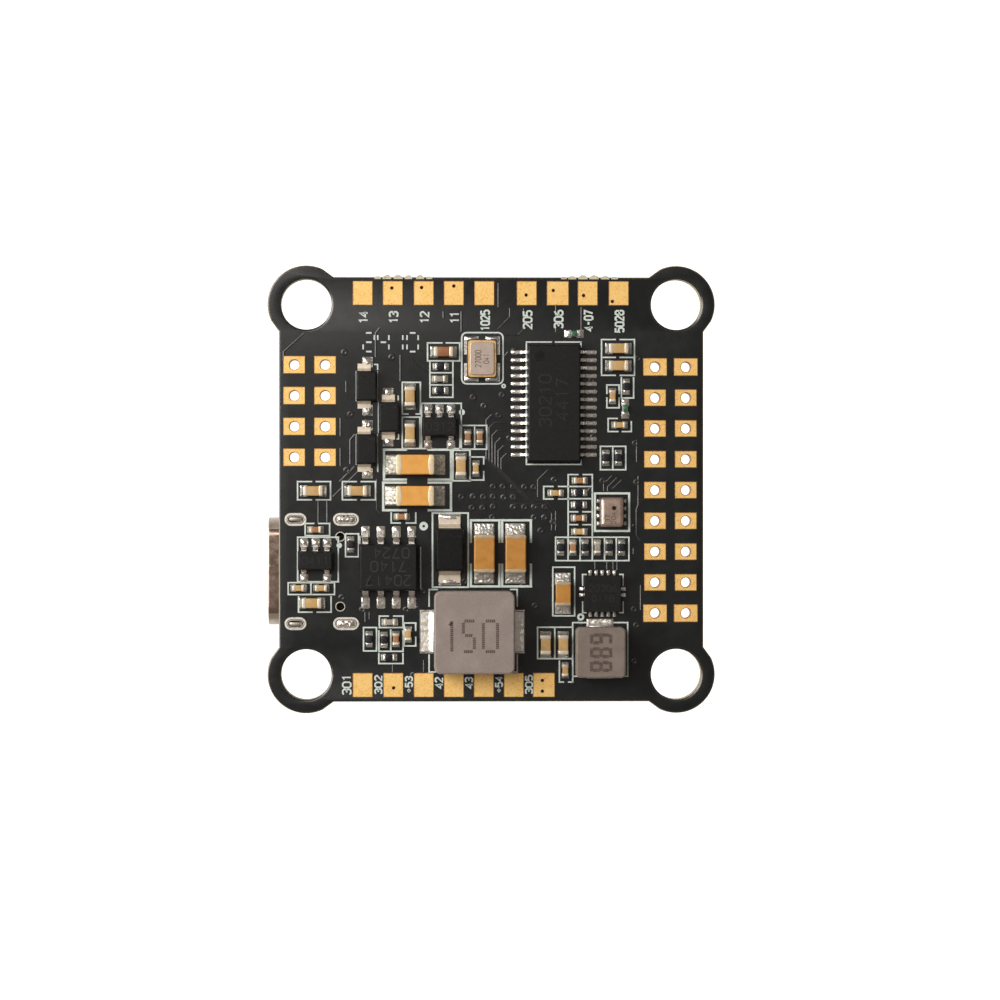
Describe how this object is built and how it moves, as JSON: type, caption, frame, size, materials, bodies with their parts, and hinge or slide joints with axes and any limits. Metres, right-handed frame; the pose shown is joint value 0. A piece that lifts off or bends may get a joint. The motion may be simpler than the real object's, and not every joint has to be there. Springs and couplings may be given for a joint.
{
  "type": "flight controller board",
  "caption": "Square four-lug flight controller circuit board with parts on both faces, edge solder pads, a USB-C receptacle beneath one edge and a sprung boot button.",
  "frame": {"origin": "middle of the 30.5 mm mounting hole pattern, on the board's upper face", "axes": "+Z out of the upper face, which carries the inductors and the pad labels; -X out of the USB mouth; +Y towards the edge with nine solder pads"},
  "size_m": [0.0368, 0.0368, 0.0078],
  "materials": {
    "solder_mask": "glass-epoxy laminate under satin black solder mask",
    "epoxy_package": "moulded black epoxy",
    "pressed_ferrite": "grey-brown pressed ferrite powder",
    "orange_ceramic": "fired tan-orange ceramic, satin",
    "brown_ceramic": "fired brown ceramic, satin",
    "tan_ceramic": "fired tan ceramic, satin",
    "grey_ceramic": "fired grey ceramic, satin",
    "resistor_film": "glass overcoat",
    "lamp_lens": "clear resin lens",
    "metal_lid": "nickel plated lid, fine grain",
    "usb_steel": "nickel plated deep-drawn steel",
    "black_plastic": "moulded black liquid-crystal polymer",
    "plunger_plastic": "moulded cream plastic"
  },
  "bodies": {
    "board": {"barometer": "metal_lid", "bead_0402": "grey_ceramic", "boot_button_body": "black_plastic", "buck_regulator": "epoxy_package", "capacitor_0402_a": "tan_ceramic", "capacitor_0402_b": "tan_ceramic", "capacitor_0402_c": "tan_ceramic", "capacitor_0402_d": "tan_ceramic", "capacitor_0402_e": "tan_ceramic", "capacitor_0402_f": "tan_ceramic", "capacitor_0402_g": "tan_ceramic", "capacitor_0402_h": "tan_ceramic", "capacitor_0402_i": "tan_ceramic", "capacitor_0603_a": "brown_ceramic", "capacitor_0603_b": "tan_ceramic", "capacitor_0603_c": "tan_ceramic", "capacitor_0603_d": "tan_ceramic", "capacitor_0603_e": "tan_ceramic", "capacitor_0603_f": "tan_ceramic", "capacitor_0603_g": "tan_ceramic", "capacitor_0603_h": "tan_ceramic", "capacitor_0603_i": "tan_ceramic", "capacitor_0603_j": "tan_ceramic", "capacitor_0603_k": "tan_ceramic", "capacitor_0805": "orange_ceramic", "capacitor_1206_a": "orange_ceramic", "capacitor_1206_b": "orange_ceramic", "capacitor_1206_c": "orange_ceramic", "capacitor_1206_d": "orange_ceramic", "circuit_board": "solder_mask", "converter": "epoxy_package", "inductor_large": "pressed_ferrite", "inductor_small": "pressed_ferrite", "lamp_0402_a": "lamp_lens", "lamp_0402_b": "lamp_lens", "log_memory": "epoxy_package", "motion_sensor": "epoxy_package", "osd_chip": "epoxy_package", "osd_crystal": "metal_lid", "power_diode": "epoxy_package", "processor": "epoxy_package", "processor_crystal": "metal_lid", "regulator_3v3": "epoxy_package", "regulator_a": "epoxy_package", "regulator_b": "epoxy_package", "resistor_0402_a": "resistor_film", "resistor_0402_b": "resistor_film", "resistor_0402_c": "resistor_film", "resistor_0402_d": "resistor_film", "resistor_0402_e": "resistor_film", "resistor_0402_f": "resistor_film", "resistor_0402_g": "resistor_film", "schottky_diode_a": "epoxy_package", "schottky_diode_b": "epoxy_package", "schottky_diode_c": "epoxy_package", "status_lamp_a": "lamp_lens", "status_lamp_b": "lamp_lens", "usb_insulator": "black_plastic", "usb_shell": "usb_steel"},
    "boot_button": {"boot_button_plunger": "plunger_plastic"}
  },
  "joints": [
    {"name": "boot_button_press", "type": "slide", "parent": "board", "child": "boot_button", "axis": [0, 0, 1], "range_m": [0, 0.0002], "stiffness_N_per_m": 2000, "springref_m": -0.0001}
  ]
}
